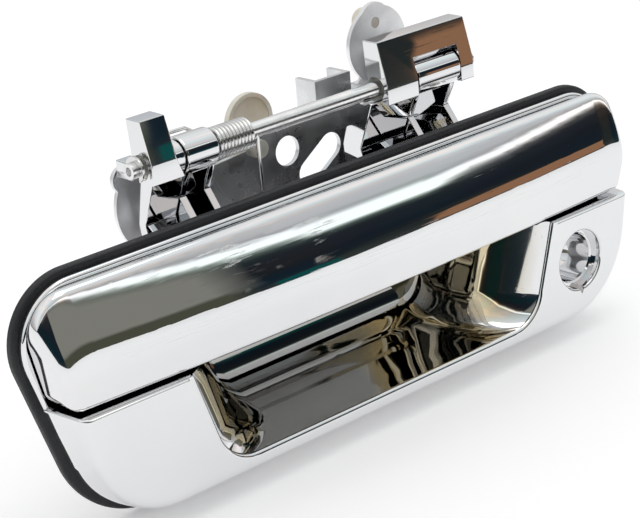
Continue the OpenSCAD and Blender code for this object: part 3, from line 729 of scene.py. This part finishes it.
def tangent(c0, r0, c1, r1):
    """Angle of the outer tangent from circle (c0, r0) to circle (c1, r1), in degrees."""
    dx, dy = c1[0] - c0[0], c1[1] - c0[1]
    return math.degrees(math.atan2(dy, dx) + math.acos((r0 - r1) / math.hypot(dx, dy)))


def bulged(p, q, angle, swing, steps):
    """Points between p and q on a curve that swings a little past the chord at both ends."""
    rise = math.dist(p, q) / 2 * math.tan(math.radians(swing))
    out = (math.cos(math.radians(angle)), math.sin(math.radians(angle)))
    c = [(a + b) / 2 + n * rise for a, b, n in zip(p, q, out)]
    points = []
    for i in range(1, steps):
        t = i / steps
        points.append(tuple((1 - t) ** 2 * a + 2 * t * (1 - t) * m + t * t * b for a, m, b in zip(p, c, q)))
    return points


def paddle_section(fine):
    """Section at the paddle's middle: a toe, a crowned face, a flatter top and a rounded head."""
    height = PADDLE_HIGH - PADDLE_LOW
    toe_r, head_r, swing, crown_r = 1.6, 3.4, 5.0, 0.64 * height
    toe = (PADDLE_FRONT + toe_r + 0.9, PADDLE_LOW + toe_r)
    crown = (PADDLE_FRONT + crown_r, PADDLE_LOW + 0.327 * height)
    head = (PADDLE_BACK - head_r, PADDLE_HIGH - head_r)
    a1 = tangent(toe, toe_r, crown, crown_r)
    a2 = tangent(crown, crown_r, head, head_r)
    face = arc(*crown, crown_r, a1, a2 + swing, 8 * fine)
    top = arc(*head, head_r, a2 - swing, 0, 5 * fine)
    return ([(PADDLE_BACK, PADDLE_LOW)] + arc(*toe, toe_r, 270, a1, 3 * fine) + face
            + bulged(face[-1], top[0], a2, swing, 4 * fine) + top)


def paddle_bar(name, inset, fine, shift=0.0):
    """The paddle's body as a loft of sections along X, with ends that lean."""
    half = PADDLE_HALF - inset
    top_r, bottom_r, end_r, bow = 13.0 - inset, 4.0 - inset, 3.6, 3.0
    turns = 8 * fine
    stations = [half - top_r + top_r * math.sin(math.radians(90 * i / turns)) for i in range(turns + 1)]
    straight = [(half - top_r) * i / (8 * fine) for i in range(8 * fine)]
    right = straight + stations
    xs = [-x for x in reversed(right[1:])] + right
    section = paddle_section(fine)
    rings = []
    for x in xs:
        d = abs(x)
        front = PADDLE_FRONT + inset + bow * (d / half) ** 2 + corner_drop(d, half, end_r)
        low = PADDLE_LOW + inset + corner_drop(d, half, bottom_r)
        high = PADDLE_HIGH - inset - corner_drop(d, half, top_r)
        ring = []
        for y, z in section:
            fit_y = PADDLE_BACK + (y - PADDLE_BACK) * (PADDLE_BACK - front) / (PADDLE_BACK - PADDLE_FRONT)
            fit_z = low + (z - PADDLE_LOW) * (high - low) / (PADDLE_HIGH - PADDLE_LOW)
            ring.append((x * (1 - PADDLE_LEAN * (LEAN_START - fit_z) / half), fit_y + shift, fit_z))
        rings.append(ring)
    return loft(name, rings)


def paddle_piece(material):
    """Paddle with its hollow back, ribs, gooseneck arms, horns and drive fingers."""
    paddle = paddle_bar("paddle", 0.0, 3)
    hollow = paddle_bar("hollow", PADDLE_WALL, 1, PADDLE_WALL)
    ribs = []
    for share in (-4, -3, -1, 0, 1, 3, 4):
        middle = share * PADDLE_HALF / 5
        ribs.append(block("rib", (middle - 0.9, PADDLE_FRONT - 1, 0),
                          (middle + 0.9, PADDLE_BACK - 1.2, 36), 0))
    for side in (-1, 1):
        ribs.append(block("end", (side * PADDLE_HALF - 9, PADDLE_FRONT - 1, 0),
                          (side * PADDLE_HALF + 9, PADDLE_BACK + 4, 36), 0))
    combine(hollow, ribs, "DIFFERENCE")
    combine(paddle, [hollow], "DIFFERENCE")
    front = PADDLE_FRONT + 4
    foot = POCKET_TOP + WALL + 1.2
    arm = [(front, foot), (17, foot), (25.6, 21), (25.6, 31), (PIVOT_Y + HUB_R - 1, PIVOT_Z),
           (PIVOT_Y - HUB_R + 2, PIVOT_Z - 3), (17.8, 30.5), (16.5, 24.5), (12, 21), (front, 21)]
    web = [(front, 17.8), (13, 17.8), (19.8, 23.8), (20.8, 30.5), (PIVOT_Y + 2, PIVOT_Z - 2),
           (PIVOT_Y - HUB_R + 2, PIVOT_Z - 3), (17.8, 30.5), (16.5, 24.5), (12, 21), (front, 21)]
    top = PIVOT_Z + HORN_HEIGHT

    def horn(name, x0, x1, low, high, taper=0.0):
        front = PIVOT_Y - ARM_HUB_R - 0.2
        upper = PIVOT_Z + 1.5
        outline = [(front, low), (front, upper), (front + 3.6 * (high - upper) / (top - upper), high),
                   (PIVOT_Y + 3.6 + (high - PIVOT_Z) / HORN_HEIGHT, high), (PIVOT_Y + 3.6, PIVOT_Z),
                   (front + 4.0, low)]
        made = prism(name, "x", outline, x0, x1, 0.0)
        for vertex in made.data.vertices:
            if vertex.co.x > (x0 + x1) / 2 * MM and vertex.co.z > upper * MM:
                vertex.co.x -= taper * MM
        return soften(made, 0.35)

    def finger(x0, x1):
        return block("finger", (x0, PIVOT_Y + 2, FINGER_LOW), (x1, FINGER_TIP, FINGER_LOW + 3.4), 0.5)

    a, b = LEFT_ARM
    low = PIVOT_Z - 4.6
    parts = [rod_bar("hub", ARM_HUB_R, LEFT_ARM, 0.5), prism("web", "x", web, a + 0.02, b - 0.02, 0.3),
             prism("arm", "x", arm, b - 2.4, b, 0.35), horn("horn", a - 1.2, b - 1, low, top - 1, 2.4),
             finger(a + 1, a + 6.4)]
    a, b = RIGHT_ARM
    parts += [rod_bar("hub", ARM_HUB_R, RIGHT_ARM, 0.5), rod_bar("hub", ARM_HUB_R, END_HUB, 0.5),
              prism("web", "x", web, a - WEB_REACH + 0.02, b - 0.02, 0.3)]
    for x in (a - WEB_REACH, a + 1, b - 2.4):
        parts.append(prism("arm", "x", arm, x, x + 2.4, 0.35))
    parts.append(finger(a + 0.6, a + 5.5))
    plate = horn("plate", a - 2.4, END_HUB[1], low, top)
    gap = block("gap", (b, PIVOT_Y - 9, PIVOT_Z - 8), (END_HUB[0], PIVOT_Y + 12, PIVOT_Z + HUB_R + 1.6), 0)
    combine(plate, [gap], "DIFFERENCE")
    parts.append(plate)
    for side in (-1, 1):
        parts.append(bar("pad", "y", 4.4, PADDLE_FRONT + 5, RIM_Y - 3.2, (side * 80, 18), 0.3, 32))
    combine(paddle, parts, "UNION")
    spans = [(LEFT_ARM[0] - 1.3, LEFT_ARM[1]), (RIGHT_ARM[0] - WEB_REACH, RIGHT_ARM[1]), END_HUB]
    bores = [rod_bar("bore", BUSH_R, (s[0] - 0.1, s[1] + 0.1), 0) for s in spans]
    combine(paddle, bores, "DIFFERENCE")
    tidy(paddle)
    shade(paddle)
    return place(paddle, "paddle_shell", "paddle", material, ["paddle"])


def gasket_piece(material):
    """Rubber gasket: a band with rounded shoulders, swept round the rim."""
    outer = rim_outline(-GASKET_PROUD, 24)
    inner = rim_outline(GASKET_BAND - GASKET_PROUD, 24)
    r = 0.9
    section = []
    for share_low, y_low, a0 in ((0.0, -GASKET_T, 180), (1.0, -GASKET_T, 270), (1.0, 0.0, 0), (0.0, 0.0, 90)):
        for i in range(5):
            a = math.radians(a0 + 90 * i / 4)
            across = share_low * GASKET_BAND + (r if share_low == 0 else -r) + r * math.cos(a)
            deep = y_low + (r if y_low < 0 else -r) + r * math.sin(a)
            section.append((across / GASKET_BAND, deep))
    rings = []
    for (ox, oz), (ix, iz) in zip(outer, inner):
        rings.append([(ox + (ix - ox) * s, y, oz + (iz - oz) * s) for s, y in section])
    gasket = shade(loop("gasket", rings))
    return place(gasket, "gasket_band", "housing", material, ["gasket"])


def sweep(name, path, r, sides):
    """Round wire along a path of points."""
    rings = []
    across = None
    for i, p in enumerate(path):
        t = (Vector(path[min(i + 1, len(path) - 1)]) - Vector(path[max(i - 1, 0)])).normalized()
        if across is None:
            across = t.cross(Vector((0.1, 0.2, 1.0))).normalized()
        across = (across - t * across.dot(t)).normalized()
        up = t.cross(across)
        ends = 0.55 if i in (0, len(path) - 1) else 1.0
        rings.append([tuple(Vector(p) + (across * math.cos(2 * math.pi * k / sides)
                                         + up * math.sin(2 * math.pi * k / sides)) * r * ends)
                      for k in range(sides)])
    return loft(name, rings)


def spring_piece(material):
    """Torsion spring: a close coil round the rod with a hooked leg and a long straight leg."""
    start = LEFT_EAR[1] + 1.2
    pitch = SPRING_WIRE + 0.06
    hook_y = PIVOT_Y + SPRING_R + HOOK_BACK
    hook_z = PIVOT_Z + HOOK_UP
    path = [(LEFT_ARM[1] - 2.5, hook_y, hook_z), (LEFT_EAR[1] - 6, hook_y, hook_z),
            (LEFT_EAR[1] - 2, hook_y, PIVOT_Z + 4.5), (start - 2.0, PIVOT_Y + SPRING_R + 1.7, PIVOT_Z + 3.6),
            (start - 0.8, PIVOT_Y + SPRING_R + 0.5, PIVOT_Z + 1.9)]
    around = 28
    for i in range(int((SPRING_TURNS + 0.5) * around) + 1):
        turn = i / around
        a = 2 * math.pi * turn
        path.append((start + pitch * turn, PIVOT_Y + SPRING_R * math.cos(a),
                     PIVOT_Z - SPRING_R * math.sin(a)))
    x, y, z = path[-1]
    path += [(x + 0.3, y, z - drop) for drop in (1.0, 3.0, 8.0, 16.0, 23.6, 24.0)]
    spring = shade(sweep("spring", path, SPRING_WIRE / 2, 14), 50)
    return place(spring, "torsion_spring_wire", "housing", material, ["torsion_spring"])


# ---------------------------------------------------------------- studio
def floor_piece():
    """White table under the handle; it belongs to the studio, not to the part."""
    low = CAD_BOX[0].z - FLOOR_DROP
    size = FLOOR_HALF
    mesh = bpy.data.meshes.new("floor")
    corners = [(-size, -size, low), (size, -size, low), (size, size, low), (-size, size, low)]
    mesh.from_pydata(corners, [], [(0, 1, 2, 3)])
    floor = bpy.data.objects.new("floor", mesh)
    bpy.context.scene.collection.objects.link(floor)
    g = Graph("paper")
    cloud = g.noise(3.0, 2.0)
    tint = g.blend(g.spread(cloud, 0.3, 0.7, 0.0, 1.0), (0.90, 0.90, 0.905), (0.88, 0.88, 0.885))
    g.put("Base Color", tint)
    g.put("Roughness", g.spread(cloud, 0.3, 0.7, 0.85, 0.95))
    g.put("Emission Color", (1.0, 1.0, 1.0))
    g.put("Emission Strength", FLOOR_GLOW)
    mesh.materials.append(g.material)
    return floor


def area_light(name, place_at, target, size, power, colour=(1, 1, 1)):
    """Rectangular lamp turned toward its target."""
    light = bpy.data.lights.new(name, "AREA")
    light.shape = "RECTANGLE"
    light.size, light.size_y = size
    light.energy = power
    light.color = colour
    obj = bpy.data.objects.new(name, light)
    obj.location = place_at
    aim = Vector(target) - Vector(place_at)
    obj.rotation_mode = "QUATERNION"
    obj.rotation_quaternion = aim.to_track_quat("-Z", "Y")
    bpy.context.scene.collection.objects.link(obj)
    return obj


def fill_ramp(ramp, stops):
    """Sets a colour ramp's stops from (position, colour) pairs in rising order."""
    elements = ramp.color_ramp.elements
    for element, (position, colour) in ((elements[0], stops[0]), (elements[1], stops[-1])):
        element.position = position
        element.color = (*colour, 1)
    for position, colour in stops[1:-1]:
        elements.new(position).color = (*colour, 1)


def studio_world():
    """Room round the handle: dark in front, a bright strip overhead and a pale wall behind."""
    world = bpy.data.worlds.new("studio")
    world.use_nodes = True
    bpy.context.scene.world = world
    tree = world.node_tree
    back = tree.nodes["Background"]
    coords = tree.nodes.new("ShaderNodeTexCoord")
    split = tree.nodes.new("ShaderNodeSeparateXYZ")
    tree.links.new(coords.outputs["Generated"], split.inputs["Vector"])

    def calc(operation, a, b=0.0):
        made = tree.nodes.new("ShaderNodeMath")
        made.operation = operation
        for socket, value in zip(made.inputs, (a, b)):
            if isinstance(value, (int, float)):
                socket.default_value = value
            else:
                tree.links.new(value, socket)
        return made.outputs["Value"]

    around = calc("ARCTAN2", split.outputs["Z"], calc("MULTIPLY", split.outputs["Y"], -1.0))
    share = calc("DIVIDE", around, math.pi)
    wobble = tree.nodes.new("ShaderNodeTexNoise")
    wobble.inputs["Scale"].default_value = 2.2
    wobble.inputs["Detail"].default_value = 2.0
    tree.links.new(coords.outputs["Generated"], wobble.inputs["Vector"])
    share = calc("ADD", share, calc("MULTIPLY", calc("SUBTRACT", wobble.outputs["Fac"], 0.5), 0.02))
    ramp = tree.nodes.new("ShaderNodeValToRGB")
    tree.links.new(share, ramp.inputs["Fac"])
    stops = [(0.0, (0.020, 0.030, 0.038)), (0.05, (0.010, 0.018, 0.024)), (0.13, (0.013, 0.016, 0.020)),
             (0.163, (0.025, 0.025, 0.027)), (0.177, (0.10, 0.095, 0.09)), (0.186, (0.50, 0.48, 0.45)),
             (0.192, (1.35, 1.33, 1.30)), (0.203, (1.30, 1.29, 1.28)), (0.212, (0.42, 0.42, 0.41)),
             (0.224, (0.58, 0.58, 0.58)), (0.30, (0.74, 0.74, 0.745)), (0.42, (0.95, 0.95, 0.95)),
             (0.60, (0.95, 0.95, 0.95)), (0.80, (0.80, 0.80, 0.81)), (1.0, (0.40, 0.40, 0.41))]
    fill_ramp(ramp, stops)
    # cooler and warmer things standing about the dark side of the room
    things = tree.nodes.new("ShaderNodeTexNoise")
    things.inputs["Scale"].default_value = 3.4
    things.inputs["Detail"].default_value = 1.0
    tree.links.new(coords.outputs["Generated"], things.inputs["Vector"])
    hue = tree.nodes.new("ShaderNodeValToRGB")
    tree.links.new(things.outputs["Fac"], hue.inputs["Fac"])
    fill_ramp(hue, [(0.36, (0.55, 1.25, 1.15)), (0.47, (0.8, 0.95, 1.15)), (0.54, (1.0, 1.0, 1.0)),
                    (0.62, (1.9, 1.45, 1.1))])
    mix = tree.nodes.new("ShaderNodeMix")
    mix.data_type = "RGBA"
    mix.blend_type = "MULTIPLY"
    dark_side = tree.nodes.new("ShaderNodeMapRange")
    dark_side.inputs["From Min"].default_value = 0.15
    dark_side.inputs["From Max"].default_value = 0.19
    dark_side.inputs["To Min"].default_value = 1.0
    dark_side.inputs["To Max"].default_value = 0.15
    tree.links.new(share, dark_side.inputs["Value"])
    tree.links.new(dark_side.outputs["Result"], mix.inputs[0])
    tree.links.new(ramp.outputs["Color"], mix.inputs[6])
    tree.links.new(hue.outputs["Color"], mix.inputs[7])

    def within(value, low, high, soft):
        """1 between low and high, fading over soft."""
        sides = []
        for start, end in ((low - soft, low), (high + soft, high)):
            fade = tree.nodes.new("ShaderNodeMapRange")
            fade.inputs["From Min"].default_value = start
            fade.inputs["From Max"].default_value = end
            tree.links.new(value, fade.inputs["Value"])
            sides.append(fade.outputs["Result"])
        return calc("MULTIPLY", sides[0], sides[1])

    def patch(below, colour, across, up, soft):
        """Something standing in the room: a coloured block between two bearings and two heights."""
        made = tree.nodes.new("ShaderNodeMix")
        made.data_type = "RGBA"
        tree.links.new(calc("MULTIPLY", within(split.outputs["X"], *across, soft[0]),
                            within(share, *up, soft[1])), made.inputs[0])
        tree.links.new(below, made.inputs[6])
        made.inputs[7].default_value = (*colour, 1)
        return made.outputs[2]

    room = mix.outputs[2]
    room = patch(room, (0.24, 0.24, 0.21), (-0.2, 0.52), (0.06, 0.165), (0.03, 0.03))
    room = patch(room, (0.075, 0.078, 0.055), (-0.2, 0.525), (0.0, 0.06), (0.02, 0.025))
    room = patch(room, (0.005, 0.075, 0.070), (0.555, 0.60), (0.0, 0.022), (0.004, 0.004))
    room = patch(room, (0.30, 0.155, 0.085), (0.668, 0.78), (0.004, 0.07), (0.003, 0.004))
    tree.links.new(room, back.inputs["Color"])
    back.inputs["Strength"].default_value = 1.0


def camera():
    """Camera at the photograph's angle: long lens, from the front left, a little above."""
    right = Vector((0.73985, -0.66734, -0.08533))
    up = Vector((0.29450, 0.20721, 0.93292))
    back = Vector((-0.60489, -0.71535, 0.34984))
    data = bpy.data.cameras.new("camera")
    data.sensor_width = 36.0
    data.lens = CAMERA_LENS
    data.clip_start = 0.01
    data.clip_end = 20.0
    obj = bpy.data.objects.new("camera", data)
    rows = [(right[i], up[i], back[i], CAMERA_AT[i]) for i in range(3)]
    obj.matrix_world = Matrix((*rows, (0, 0, 0, 1)))
    bpy.context.scene.collection.objects.link(obj)
    bpy.context.scene.camera = obj


def main():
    camera()
    scene = bpy.context.scene
    scene.view_settings.view_transform = "Standard"
    floor_piece()
    studio_world()
    area_light("overhead", OVERHEAD_AT, (0, 0, 0), OVERHEAD_SIZE, OVERHEAD_POWER)

    chrome = chrome_material("chrome_bezel", False)
    chrome_paddle = chrome_material("chrome_paddle", True)
    rubber = rubber_material()
    nylon = nylon_material()
    polished = metal_material("polished_steel", (0.88, 0.88, 0.88), 0.16, 0.28, brushed=0.1)
    spring_steel = metal_material("spring_steel", (0.78, 0.78, 0.77), 0.10, 0.22, brushed=0.15)
    galvanised = metal_material("galvanised_sheet", (0.80, 0.81, 0.82), 0.14, 0.3, spangle=0.4)
    plated = metal_material("plated_sheet", (0.90, 0.90, 0.91), 0.3, 0.42, brushed=0.06)
    zinc = metal_material("zinc_steel", (0.70, 0.70, 0.68), 0.14, 0.3)

    bezel_piece(chrome)
    paddle_piece(chrome_paddle)
    gasket_piece(rubber)
    spring_piece(spring_steel)
    finer("bump_stops", 0.4, "housing", rubber)
    finer("pivot_rod", 0.3, "housing", polished)
    finer("rod_clips", 0.12, "housing", spring_steel)
    finer("arm_bushes", 0.15, "paddle", nylon)
    finer("carrier_bracket", 0.25, "housing", galvanised)
    finer("bracket_screws", 0.2, "housing", zinc)
    finer("mounting_studs", 0.3, "housing", zinc)
    finer("left_crank", 0.3, "left_crank", plated)
    finer("right_crank", 0.3, "right_crank", plated)
    finer("crank_rivets", 0.4, "housing", zinc)
    finer("crank_washers", 0.15, "housing", zinc)
    finer("left_rod_holder", 0.2, "left_crank", nylon)
    finer("right_rod_holder", 0.2, "right_crank", nylon)
    finer("harness_clip", 0.3, "housing", nylon)
    finer("lock_lever", 0.2, "lock_lever", plated)
    finer("lock_lever_rivet", 0.3, "housing", zinc)
    finer("lock_retainer", 0.2, "housing", spring_steel)


main()
